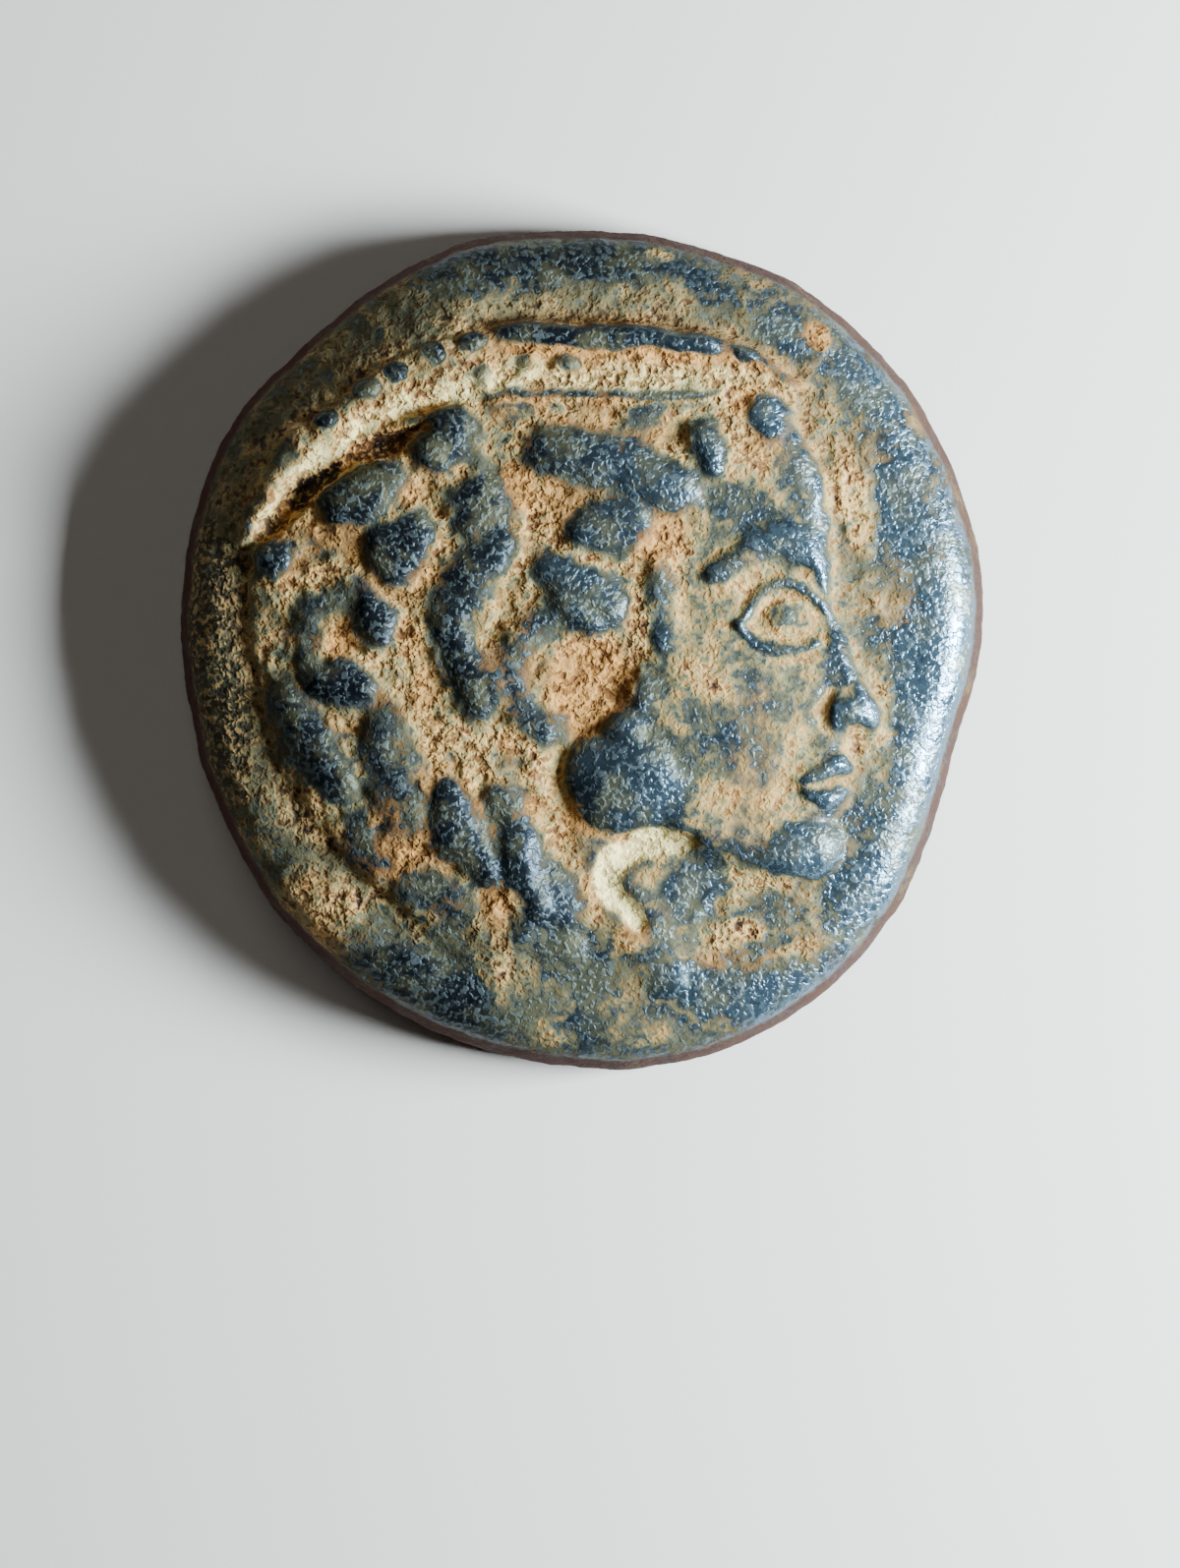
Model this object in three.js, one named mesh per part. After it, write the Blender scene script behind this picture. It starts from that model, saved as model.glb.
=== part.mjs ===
// An ancient Greek bronze coin: a thick flan with a domed obverse and a bevelled edge, struck with a large
// head in profile under a beaded band, its hair in rounded locks, and with a star on the reverse. It is one
// solid. Units are millimetres and +Z is up. The coin lies on its reverse: the origin is on the table under
// the middle of the flan, and +Y is towards the crown of the head.
import * as THREE from "three";

// Flan
const FLAN_DIAMETER = 19.1; // mean width over the widest line of the edge
const FIELD_HEIGHT = 3.02; // from the table to the middle of the obverse field
const DOME_DROP = 0.34; // fall of the obverse field from its middle to its shoulder
const SHOULDER_REACH = 1.25; // width of the rounding round the obverse
const SHOULDER_DROP = 0.73; // fall of that rounding, from the field to the top of the edge
const WIDEST_HEIGHT = 0.8; // height of the widest line of the edge
const BEVEL = 0.26; // how far the edge leans out from its top to its widest line
const HEEL_REACH = 0.45; // rounding under the widest line, down to the table
const HEEL_CORNER = 0.3; // share of its reach and of its height at which the heel turns
const BORDER_WIDTH = 0.95; // worn flat border of the reverse, which the coin rests on
const DISH_SLOPE = 0.8; // width of the slope from that border up into the reverse field
const REVERSE_DISH = 0.26; // height of the reverse field above the table

// How the hammered outline departs from a circle: the direction in degrees, the rise in millimetres and the
// spread in degrees of each bulge or flat
const OUTLINE = [
  { at: 58, rise: 0.42, spread: 24 },
  { at: 108, rise: 0.36, spread: 13 },
  { at: 148, rise: 0.17, spread: 11 },
  { at: 195, rise: -0.33, spread: 18 },
  { at: 230, rise: -0.14, spread: 16 },
  { at: 290, rise: 0.33, spread: 18 },
  { at: 344, rise: -0.52, spread: 13 },
];

// Obverse die. The rises are in millimetres.
const HEAD_HEIGHT = 12.8; // from the crown, at the band, to the chin
const WORN_TOP = 0.7; // what wear has left of the carving above the field
const WEAR_SOFTNESS = 0.12; // how gradually the high points turn into that worn top
const FADE_START = 0.94; // share of the way to the shoulder at which the carving starts to fade out
const HEAD_RISE = 0.4;
const NECK_STEP = 0.17; // fall from the jaw to the neck
const HAIR_RISE = 0.1;
const LOCK_RISE = 0.33;
const LOCK_FIRMNESS = 0.7; // steepness of a lock's sides, steeper the further it is under 1
const LOCK_SEAM = 0.06; // how softly touching locks run together
const BAND_RISE = 0.6;
const BEAD_RISE = 0.15;
const PENDANT_SEAT = 0.34;
const PENDANT_RISE = 0.36;

// Reverse die
const STAR_RAYS = 8;
const RAY_LENGTH = 5.9; // from the middle of the flan to a ray's tip
const RAY_WIDTH = 2.6; // at the middle of the star, narrowing to nothing at the tip
const BOSS_RADIUS = 1.5;
const PELLET_RADIUS = 0.75;
const PELLET_ORBIT = 4.6; // from the middle of the flan to a pellet between two rays
const STAR_WEAR = 0.16; // what wear has cut off the star, which is flat where it meets the table

// Fineness of the surface
const OBVERSE_RINGS = 31;
const OBVERSE_SECTORS = 6;
const REVERSE_RINGS = 16;
const SHOULDER_STEPS = 3;

// What follows is drawn in hundredths of the head's height, from the middle of the flan. The profile and the
// features are a plain canon: brow, base of the nose and chin stand a third of the face apart, and the eye is
// at half the head's height.
const CROWN_AND_NAPE = [
  [-27, -52], [-40, -40], [-51, -27], [-58, -10], [-60.5, 8], [-58, 24], [-48, 37], [-34, 48], [-16, 55],
  [6, 57], [24, 54],
];
const PROFILE = [
  [37, 46], [43.5, 31], [46.8, 15], [46.4, 8.5], [51, -2], [55.6, -10.5], [54, -13.7], [48.6, -14.8],
  [48, -18], [50.2, -21.3], [47.8, -23.4], [49.4, -26.2], [45.6, -30.5], [47.4, -36], [43, -41.3], [33, -42],
];
const NECK = [[24, -44], [20.5, -54], [24, -68], [10, -76], [-10, -76], [-16, -62]];
const HAIRLINE = [
  [42, 50], [35, 38], [26, 32], [21, 22], [19.5, 12], [15.5, 4], [14.5, -6], [6, -14], [-3, -18], [-5, -28],
  [0, -38], [2, -50], [-4, -58], [-14, -62],
];
const JAW = [[60, -41], [43.5, -41.8], [33, -40.5], [22, -36.5], [13, -30.5], [8, -23], [6, -14]];
const BEHIND_NECK = [[-4, -14], [-8, -30], [-6, -50], [-40, -90], [60, -90]];
const HEAD_ROUNDING = 8.5; // how far in from its outline the head reaches its full rise
const HEAD_EDGE = [-1, 3]; // depths inside the outline between which the face's forms come in
const HAIR_EDGE = [-2.5, 3.5];
const NECK_EDGE = [-2.5, 2];

// Locks of hair: the width of each and the line that it follows, from the crown down to the nape
const LOCKS = [
  { width: 13, line: [[-26, 36], [-23.5, 40]] },
  { width: 12.5, line: [[-43, 27], [-36.5, 30.8]] },
  { width: 12.5, line: [[-33.8, 16.5], [-31, 21]] },
  { width: 13, line: [[-19, 23.5], [-18, 28.5]] },
  { width: 13, line: [[-5.5, 36], [0, 35], [8, 32.2], [16, 29]] },
  { width: 11.5, line: [[1, 22], [9, 23.8]] },
  { width: 11, line: [[-5.5, 14.4], [0, 11.5], [5.5, 8]] },
  { width: 9.5, line: [[22.8, 41], [23.6, 33]] },
  { width: 9, line: [[33, 45], [34.6, 38.5]] },
  { width: 7.5, line: [[10.5, 44.5], [14, 44.8]] },
  { width: 7.5, line: [[-57, 17.5], [-55, 15.8]] },
  { width: 11, line: [[-15, 19], [-21, 12], [-22.8, 3], [-18.5, -8]] },
  { width: 8.5, line: [[-36.6, 6], [-41, 10.6], [-48, 6], [-48, -3], [-42, -7.6], [-37, -4.6]] },
  { width: 7, line: [[-30.5, 5], [-31, -5]] },
  { width: 6.5, line: [[13.6, 13.5], [14.6, 10]] },
  { width: 9.5, line: [[-53, -9], [-49, -16], [-44, -24]] },
  { width: 12, line: [[-35.4, -15], [-34, -22], [-31.5, -29]] },
  { width: 8, line: [[-9, -18], [-9.5, -24]] },
  { width: 11, line: [[-24, -26.5], [-21.5, -33], [-17.5, -39.5]] },
  { width: 12, line: [[-12, -32], [-8.5, -40], [-4, -48]] },
  { width: 8, line: [[-40, -33], [-37, -38]] },
  { width: 8, line: [[-29, -42], [-25.5, -48]] },
  { width: 9, line: [[-14, -47], [-9, -56]] },
];

const BAND = [
  [-61.5, 19], [-56, 33], [-48, 41.5], [-36, 48.2], [-20, 53], [-4, 54], [12, 54], [26, 51], [40, 46.5],
];
const BAND_WIDTH = 13.2;
const BAND_EDGE = 2.6; // width of the slope along each side of the band
const BAND_TAPER = [0.1, 0.16]; // shares of its length over which the band narrows at its two ends
const BAND_LIP = [[-18.6, 56.6], [-9, 58], [5.3, 58], [17.9, 56.2], [27, 53]];
const BAND_GROOVE = [[-57.5, 20], [-52, 28.2], [-45, 34.6], [-36, 39.8], [-28, 43]];
const BEADS = [
  [-52.5, 37.8], [-47.5, 43], [-40.6, 47.4], [-34.6, 50.2], [-27, 53.5], [-18, 50.8], [-9.2, 51.6], [-2, 52],
];
const BEAD_SIZE = [3, 2.6];

// The forms of the face, ear and neck that are raised from the head's mass or sunk into it
const FACE = [
  { rise: 0.17, form: mound([25, -9], [20, 21], 1.2) }, // cheek
  { rise: 0.09, form: mound([31, 27], [20, 17]) }, // forehead
  { rise: -0.2, form: mound([37.5, 6.5], [11, 8.5]) }, // eye socket
  { rise: 0.15, form: ridge([[46.5, 15.5], [39, 18.8], [30, 18], [22, 12.5]], 9) }, // brow
  { rise: 0.15, form: mound([36, 6.3], [6.4, 4.4], 0.8) }, // eyeball
  { rise: 0.13, form: ridge([[43, 9.3], [37.5, 11.2], [31, 8.7], [28, 5.2]], 3.8, 0.6) }, // upper lid
  { rise: 0.09, form: ridge([[41.5, 3.2], [36, 1.8], [31.4, 3], [28, 5.2]], 3.2, 0.6) }, // lower lid
  { rise: 0.15, form: ridge([[46.8, 9], [50, 0], [53.6, -9]], 10, 0.8) }, // bridge of the nose
  { rise: 0.13, form: mound([47.3, -11], [5.8, 4.8], 0.8) }, // wing of the nose
  { rise: -0.1, form: ridge([[44.5, -4], [41.5, -10], [43, -15.5]], 4.5) }, // fold beside the nose
  { rise: 0.17, form: ridge([[50, -20.9], [45, -20.6], [37, -23.4]], 5.4, 0.6) }, // upper lip
  { rise: 0.16, form: ridge([[49.2, -26.3], [44, -26.7], [38, -24.9]], 5.4) }, // lower lip
  { rise: -0.15, form: ridge([[49, -23.6], [43, -23.4], [36, -24]], 2.8, 0.6) }, // line of the mouth
  { rise: 0.17, form: mound([42.3, -36], [9.5, 7.2]) }, // chin
  { rise: -0.07, form: ridge([[47, -31], [41, -31], [36, -29]], 5) }, // hollow above the chin
  { rise: 0.1, form: ridge([[2, -33], [10, -48], [16, -70]], 12, 0.6) }, // tendon of the neck
];
const EAR_RIM = [[2.5, 3.6], [-4, 6.4], [-11, 2.5], [-12.5, -5.5], [-9, -12.5], [-3, -15]];
const EAR = [
  { rise: -0.26, form: mound([2.2, -6], [8.5, 11], 0.8) }, // bowl
  { rise: 0.27, form: ridge(EAR_RIM, 6.4, 0.6) },
  { rise: 0.2, form: mound([10.8, -8], [3.6, 4.4]) }, // flap in front of the bowl
];
const PENDANT = mound([9, -23.2], [12.5, 10], 0.6);
const PENDANT_HOOK = mound([10.3, -13.6], [5.8, 6.8], 0.6);
const HOOK_SHARE = 0.8; // rise of the hook beside that of the pendant
const NECK_GOUGE = { rise: -0.28, form: ridge([[18.5, -34], [9, -36], [5, -42], [11.5, -48.8]], 6.5, 0.6) };
const BAND_FORMS = [
  { rise: -0.22, form: ridge(BAND_GROOVE, 5.4) },
  { rise: 0.13, form: ridge(BAND_LIP, 4.4, 0.4) },
  ...BEADS.map((at) => ({ rise: BEAD_RISE, form: mound(at, BEAD_SIZE) })),
];

const headDepth = region(smoothLine([...PROFILE, ...NECK, ...CROWN_AND_NAPE], true));
const hairDepth = region(smoothLine([...HAIRLINE, ...CROWN_AND_NAPE], true));
const neckDepth = region([...smoothLine(JAW), ...BEHIND_NECK]);
const bandLine = smoothLine(BAND);
const lockLines = LOCKS.map(({ width, line }) => ({ width, line: line.length > 2 ? smoothLine(line) : line }));

function smoothStep(from, to, value) {
  return THREE.MathUtils.smoothstep(value, from, to);
}

// The larger of two heights, with the corner between them rounded over a reach.
function smoothMax(a, b, reach) {
  const share = THREE.MathUtils.clamp(0.5 + (a - b) / (2 * reach), 0, 1);
  return b + (a - b) * share + reach * share * (1 - share);
}

// A smooth line through points, as short straight stretches.
function smoothLine(points, closed = false, stepsPerSpan = 6) {
  const spans = closed ? points.length : points.length - 1;
  const places = points.map(([x, y]) => new THREE.Vector3(x, y, 0));
  const curve = new THREE.CatmullRomCurve3(places, closed, "catmullrom");
  return curve.getPoints(spans * stepsPerSpan).map((p) => [p.x, p.y]);
}

// Distance from a point to a line, and the share of the way along the line at its nearest place.
function nearest(line, x, y) {
  let best = Infinity;
  let share = 0;
  for (let i = 1; i < line.length; i++) {
    const [ax, ay] = line[i - 1];
    const [dx, dy] = [line[i][0] - ax, line[i][1] - ay];
    const along = THREE.MathUtils.clamp(((x - ax) * dx + (y - ay) * dy) / (dx * dx + dy * dy || 1), 0, 1);
    const distance = Math.hypot(x - ax - along * dx, y - ay - along * dy);
    if (distance < best) {
      best = distance;
      share = (i - 1 + along) / (line.length - 1);
    }
  }
  return { distance: best, share };
}

// A closed region: a function that gives the depth of a point inside it, negative outside.
function region(outline) {
  const line = [...outline, outline[0]];
  return (x, y) => {
    let crossings = 0;
    for (let i = 1; i < line.length; i++) {
      const [ax, ay] = line[i - 1];
      const [bx, by] = line[i];
      if (ay <= y !== by <= y && x < ax + ((y - ay) / (by - ay)) * (bx - ax)) crossings++;
    }
    const { distance } = nearest(line, x, y);
    return crossings % 2 ? distance : -distance;
  };
}

// A rounded ridge along a line, 1 at its crest and 0 at its sides. Its ends narrow to a share of its width.
function ridge(points, width, ends = 0.5) {
  const line = points.length > 2 ? smoothLine(points) : points;
  return (x, y) => {
    const { distance, share } = nearest(line, x, y);
    const half = (width / 2) * (ends + (1 - ends) * Math.sin(Math.PI * share) ** 0.6);
    return Math.max(0, 1 - (distance / half) ** 2);
  };
}

// A rounded mound, 1 at its top and 0 at its foot. A firmness under 1 makes its sides steeper.
function mound([cx, cy], [rx, ry], firmness = 1) {
  return (x, y) => Math.max(0, 1 - ((x - cx) / rx) ** 2 - ((y - cy) / ry) ** 2) ** firmness;
}

function total(forms, x, y) {
  return forms.reduce((sum, { rise, form }) => sum + rise * form(x, y), 0);
}

// Height of the rounded locks above the hair's own mass.
function lockHeight(x, y) {
  return lockLines.reduce((height, { width, line }) => {
    const { distance } = nearest(line, x, y);
    const crest = Math.max(0, 1 - (distance / (width / 2)) ** 2) ** LOCK_FIRMNESS;
    return crest > 0 ? smoothMax(height, LOCK_RISE * crest, LOCK_SEAM) : height;
  }, 0);
}

// How far a point is under the band, from 0 beside it to 1 under its flat middle.
function underBand(x, y) {
  const { distance, share } = nearest(bandLine, x, y);
  const [back, front] = BAND_TAPER;
  const narrowing = Math.sqrt(THREE.MathUtils.clamp(Math.min(share / back, (1 - share) / front), 0, 1));
  return smoothStep(0, BAND_EDGE, (BAND_WIDTH / 2) * narrowing - distance);
}

// Height of the obverse carving above the field, before wear.
function headCarving(x, y) {
  const depth = headDepth(x, y);
  const onHead = smoothStep(...HEAD_EDGE, depth);
  const edge = THREE.MathUtils.clamp(depth / HEAD_ROUNDING, 0, 1);
  let height = HEAD_RISE * Math.sqrt(1 - (1 - edge) ** 2);
  height += (total(FACE, x, y) - NECK_STEP * smoothStep(...NECK_EDGE, neckDepth(x, y))) * onHead;
  height += HAIR_RISE * smoothStep(...HAIR_EDGE, hairDepth(x, y));
  height += lockHeight(x, y) + total(EAR, x, y);
  const drop = Math.max(PENDANT(x, y), HOOK_SHARE * PENDANT_HOOK(x, y));
  if (drop > 0) height = Math.max(height, PENDANT_SEAT + PENDANT_RISE * drop);
  height += NECK_GOUGE.rise * NECK_GOUGE.form(x, y);
  return THREE.MathUtils.lerp(height, BAND_RISE, underBand(x, y)) + total(BAND_FORMS, x, y);
}

// Radius of the flan's widest line in a direction.
function rimRadius(angle) {
  return OUTLINE.reduce((radius, { at, rise, spread }) => {
    const off = THREE.MathUtils.euclideanModulo(THREE.MathUtils.radToDeg(angle) - at + 180, 360) - 180;
    return radius + rise * Math.exp(-((off / spread) ** 2) / 2);
  }, FLAN_DIAMETER / 2);
}

// Height of the obverse at a share of the way from the middle to the shoulder.
function obverseHeight(x, y, share) {
  const unit = HEAD_HEIGHT / 100;
  const field = FIELD_HEIGHT - DOME_DROP * share ** 2;
  const carving = headCarving(x / unit, y / unit) * (1 - smoothStep(FADE_START, 1, share));
  return field - smoothMax(-carving, -WORN_TOP, WEAR_SOFTNESS);
}

// Height of the reverse above the table: a dished field inside a flat border, with the star and its pellets
// standing down from it, flat where they meet the table.
function reverseHeight(x, y, borderRadius) {
  const radius = Math.hypot(x, y);
  const turn = (2 * Math.PI) / STAR_RAYS;
  const angle = Math.atan2(y, x);
  const offRay = Math.abs(angle - Math.round(angle / turn) * turn);
  const rayWidth = RAY_WIDTH * Math.max(0, 1 - radius / RAY_LENGTH);
  const ray = rayWidth > 0 ? Math.max(0, 1 - (2 * radius * Math.sin(offRay)) / rayWidth) : 0;
  const boss = Math.max(0, 1 - (radius / BOSS_RADIUS) ** 4);
  const offPellet = offRay - turn / 2;
  const toPellet = Math.hypot(radius * Math.cos(offPellet) - PELLET_ORBIT, radius * Math.sin(offPellet));
  const pellet = Math.max(0, 1 - toPellet / PELLET_RADIUS);
  const dish = REVERSE_DISH * (1 - smoothStep(borderRadius - DISH_SLOPE, borderRadius, radius));
  return Math.max(0, dish - (REVERSE_DISH + STAR_WEAR) * Math.max(ray, boss, pellet));
}

// One ring of points round the flan, each placed by its angle.
function ring(count, place) {
  return Array.from({ length: count }, (_, i) => place((2 * Math.PI * i) / count));
}

// A ring round the edge of the flan, at an inset from the widest line and a height.
function edgeRing(count, inset, height) {
  return ring(count, (angle) => {
    const radius = rimRadius(angle) - inset;
    return new THREE.Vector3(radius * Math.cos(angle), radius * Math.sin(angle), height);
  });
}

// The rings of one face, from its middle point outwards, each with one more point in every sector.
function faceRings(rings, sectors, inset, heightAt) {
  return Array.from({ length: rings + 1 }, (_, k) =>
    ring(Math.max(1, sectors * k), (angle) => {
      const reach = rimRadius(angle) - inset;
      const radius = (reach * k) / rings;
      const [x, y] = [radius * Math.cos(angle), radius * Math.sin(angle)];
      return new THREE.Vector3(x, y, heightAt(x, y, radius / reach, reach));
    }),
  );
}

// The rounded shoulder round the obverse, a quarter ellipse from the field down to the top of the edge.
function shoulderRings() {
  const fieldEdge = FIELD_HEIGHT - DOME_DROP;
  return Array.from({ length: SHOULDER_STEPS }, (_, k) => {
    const turn = ((k + 1) / SHOULDER_STEPS) * (Math.PI / 2);
    const inset = BEVEL + SHOULDER_REACH * (1 - Math.sin(turn));
    const height = fieldEdge - SHOULDER_DROP * (1 - Math.cos(turn));
    return edgeRing(OBVERSE_SECTORS * OBVERSE_RINGS, inset, height);
  });
}

// The triangles between a ring and the next one out, which may have another count of points.
function strip(inner, outer) {
  const triangles = [];
  const innerSteps = inner.length > 1 ? inner.length : 0;
  let i = 0;
  let j = 0;
  while (i < innerSteps || j < outer.length) {
    triangles.push(inner[i % inner.length], outer[j % outer.length]);
    const outerIsNext = i === innerSteps || (j + 1) / outer.length <= (i + 1) / inner.length;
    triangles.push(outerIsNext ? outer[++j % outer.length] : inner[++i % inner.length]);
  }
  return triangles;
}

function skin(rings) {
  return rings.slice(1).flatMap((outer, i) => strip(rings[i], outer));
}

function coinGeometry() {
  const obverse = faceRings(OBVERSE_RINGS, OBVERSE_SECTORS, BEVEL + SHOULDER_REACH, obverseHeight);
  const reverse = faceRings(REVERSE_RINGS, STAR_RAYS, HEEL_REACH, (x, y, share, reach) =>
    reverseHeight(x, y, reach - BORDER_WIDTH));
  const sides = STAR_RAYS * REVERSE_RINGS;
  const widest = edgeRing(sides, 0, WIDEST_HEIGHT);
  const heel = edgeRing(sides, HEEL_CORNER * HEEL_REACH, HEEL_CORNER * WIDEST_HEIGHT);
  const top = skin([...obverse, ...shoulderRings(), widest, heel, reverse.at(-1)]);
  const underside = skin(reverse).reverse();
  return new THREE.BufferGeometry().setFromPoints([...top, ...underside]);
}

const bronze = new THREE.MeshStandardMaterial({
  name: "bronze",
  color: 0x3c4a50,
  roughness: 0.5,
  metalness: 0.35,
});

const geometry = coinGeometry();
geometry.computeVertexNormals();
const coin = new THREE.Mesh(geometry, bronze);
coin.name = "coin";

const part = new THREE.Group();
part.add(coin);

export default part;
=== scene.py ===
import math

import bpy
import numpy as np
from bpy.props import FloatProperty, FloatVectorProperty, IntProperty, PointerProperty
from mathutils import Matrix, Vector


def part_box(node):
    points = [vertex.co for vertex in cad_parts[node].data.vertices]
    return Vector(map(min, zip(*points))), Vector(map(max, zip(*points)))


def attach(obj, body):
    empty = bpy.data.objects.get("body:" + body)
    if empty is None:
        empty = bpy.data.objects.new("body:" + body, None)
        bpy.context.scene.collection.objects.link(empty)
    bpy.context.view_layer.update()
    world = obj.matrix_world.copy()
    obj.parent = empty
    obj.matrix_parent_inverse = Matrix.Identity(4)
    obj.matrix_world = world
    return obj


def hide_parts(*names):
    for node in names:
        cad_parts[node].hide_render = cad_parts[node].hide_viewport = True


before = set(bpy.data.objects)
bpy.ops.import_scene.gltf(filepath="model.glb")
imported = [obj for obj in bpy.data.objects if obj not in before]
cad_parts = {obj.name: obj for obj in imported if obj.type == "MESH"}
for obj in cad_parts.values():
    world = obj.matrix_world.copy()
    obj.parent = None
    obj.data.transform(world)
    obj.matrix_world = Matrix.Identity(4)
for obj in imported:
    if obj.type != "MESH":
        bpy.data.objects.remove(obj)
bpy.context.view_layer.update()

bl_info = {
    "name": "Ancient bronze coin",
    "version": (1, 0, 0),
    "blender": (4, 5, 0),
    "location": "3D View > Sidebar > Coin",
    "description": "Strikes a worn ancient bronze coin and lays it on a pale table",
    "category": "Object",
}

# The coin lies on its reverse. +Z is up out of the obverse and +Y is towards the crown of the head. The mesh
# is in metres. The dies are drawn in hundredths of the head's height, from the middle of the flan, and the
# rises of their forms are in millimetres.
LOW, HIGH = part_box("coin")
MM = 0.001
TOUCH = 1e-3 * MM  # two places nearer than this count as one

# The picture, in its own pixels
PICTURE_SIZE = (1200, 1595)
COIN_IN_PICTURE = (590.5, 664)  # the pixel at the middle of the flan
SCREEN = 0.023 * MM  # what one pixel covers on the coin

# The floor, in metres, and the lights: place and size in millimetres, and tint
FLOOR_WIDTH = 1.2
FLOOR_GAP = 0.002 * MM  # keeps the floor from flickering through the worn reverse
KEY_PLACE, KEY_SIZE, KEY_TINT = (70, -7, 40), (31, 31), (0.86, 0.94, 1.0)
FILL_PLACE, FILL_SIZE, FILL_TINT = (-300, 540, 660), (720, 720), (1.0, 0.96, 0.9)

# The mesh of the flan
SIDES = 128
OBVERSE_CUTS = 6
REVERSE_CUTS = 3
SHOULDER_ROWS = 16
EDGE_ROWS = 6
HEEL_ROWS = 4

# Marks on the edge: name, width and depth in millimetres
EDGE_MARKS = (("casting_skin", 0.5, 0.05), ("edge_pits", 0.18, 0.03))

# How the hammered outline departs from a circle: the direction in degrees, the rise in millimetres and the
# spread in degrees of each bulge or flat
OUTLINE = [
    (58, 0.42, 24), (108, 0.36, 13), (148, 0.17, 11), (195, -0.33, 18), (230, -0.14, 16), (290, 0.33, 18),
    (344, -0.52, 13),
]
ROUNDNESS = 0.974  # mean diameter beside the longest one

# Outlines of the head. The profile and the features are a plain canon: brow, base of the nose and chin stand
# a third of the face apart, and the eye is at half the head's height.
CROWN_AND_NAPE = [
    (-27, -52), (-40, -40), (-51, -27), (-58, -10), (-60.5, 8), (-58, 24), (-48, 37), (-34, 48), (-16, 55),
    (6, 57), (24, 54),
]
PROFILE = [
    (37, 46), (43, 34), (46, 22), (46.6, 15), (45.9, 10.5), (46.6, 6.5), (49.2, 0), (52.4, -6.6),
    (54.4, -10.4), (54.2, -12.6), (52.4, -14.3), (48.9, -15), (47.9, -18), (49.3, -20.2), (49.6, -21.8),
    (47.9, -23.5), (49.1, -25.2), (48.5, -27.6), (45.7, -30.6), (46.7, -34.5), (46.4, -38.5), (43.2, -41.6),
    (35, -42.6),
]
NECK = [(24, -44), (20.5, -54), (24, -68), (10, -76), (-10, -76), (-16, -62)]
HAIRLINE = [
    (42, 50), (35, 38), (26, 32), (21, 22), (19.5, 12), (15.5, 4), (14.5, -6), (6, -14), (-3, -18), (-5, -28),
    (0, -38), (2, -50), (-4, -58), (-14, -62),
]
JAW = [(60, -41), (43.5, -41.8), (33, -40.5), (22, -36.5), (13, -30.5), (8, -23), (6, -14)]
BEHIND_NECK = [(-4, -14), (-8, -30), (-6, -50), (-40, -90), (60, -90)]

# Locks of hair: the width of each, its share of the full rise and the line that it follows, from the crown
# down to the nape
LOCKS = [
    (13, 1, [(-26, 36), (-23.5, 40)]),
    (12.5, 1, [(-43, 27), (-36.5, 30.8)]),
    (12.5, 1, [(-33.8, 16.5), (-31, 21)]),
    (13, 0.9, [(-19, 23.5), (-18, 28.5)]),
    (13, 1, [(-5.5, 36), (0, 35), (8, 32.2), (16, 29)]),
    (11.5, 1, [(1, 22), (9, 23.8)]),
    (11, 1, [(-5.5, 14.4), (0, 11.5), (5.5, 8)]),
    (7.5, 0.8, [(22.9, 39), (23.8, 34.2)]),
    (8.5, 0.75, [(33.9, 44), (34.6, 41.4)]),
    (7, 0.4, [(10.5, 43), (14, 43)]),
    (7.5, 0.8, [(-57, 17.5), (-55, 15.8)]),
    (11, 0.9, [(-15, 19), (-21, 12), (-22.8, 3), (-18.5, -8)]),
    (9, 1, [(-38.5, 9), (-37, 3.5)]),
    (8, 0.5, [(-40, 11), (-46.5, 8), (-49, 1), (-48, -4)]),
    (10.5, 1, [(-46, -5.5), (-40, -6.5)]),
    (6, 0.45, [(13.4, 15), (14.8, 8), (15, 1)]),
    (9.5, 0.8, [(-53, -9), (-49, -16), (-44, -24)]),
    (12, 0.7, [(-35.4, -15), (-34, -22), (-31.5, -29)]),
    (11, 1, [(-24, -26.5), (-21.5, -33), (-17.5, -39.5)]),
    (7, 0.7, [(-15.5, -27), (-12.5, -29.5)]),
    (12, 1, [(-11, -34), (-8.5, -40), (-4, -47)]),
    (9, 0.3, [(-41, -32), (-37, -38)]),
    (12, 0.35, [(-30, -42), (-24, -46)]),
    (8, 0.4, [(-9, -51), (-3, -53)]),
]

# The band over the crown: the lines of its inner and outer side, and its rise in millimetres at shares of the
# way across it, at the back of the head and over the brow
BAND_INNER = [
    (-61, 19), (-59.4, 20.6), (-54.6, 26.7), (-49, 32.2), (-42.6, 36.8), (-35.6, 40.4), (-28, 43.2),
    (-21, 45), (-12.7, 45.6), (-1.9, 45.6), (10.7, 45.3), (19.7, 45.1), (27.8, 46.7), (37, 47),
]
BAND_OUTER = [
    (-61.4, 19.8), (-60.6, 27), (-55.6, 36.6), (-48.2, 44), (-39.6, 49.8), (-28.8, 55.5), (-16.3, 58.6),
    (1.7, 59.5), (19.7, 57.7), (30.5, 54.6), (40, 48.5),
]
ACROSS_BAND = (0, 0.08, 0.16, 0.3, 0.55, 0.72, 0.86, 1)
BAND_AT_BACK = (0.1, 0.2, 0.31, 0.46, 0.56, 0.58, 0.55, 0.48)
BAND_OVER_BROW = (0.38, 0.47, 0.38, 0.36, 0.44, 0.5, 0.53, 0.46)
BAND_DRAWN_RISE = 0.6  # the band's rise that these two profiles were drawn for
LIP_RISE = 0.2
BANK_RISE = 0.42  # of the ground that climbs to the band's back from outside
GROOVE_DEPTH = 0.26
BAND_GROOVE = [(-57.6, 21), (-51.8, 27), (-44, 32.8), (-35, 37.6), (-27, 40.6)]
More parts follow.
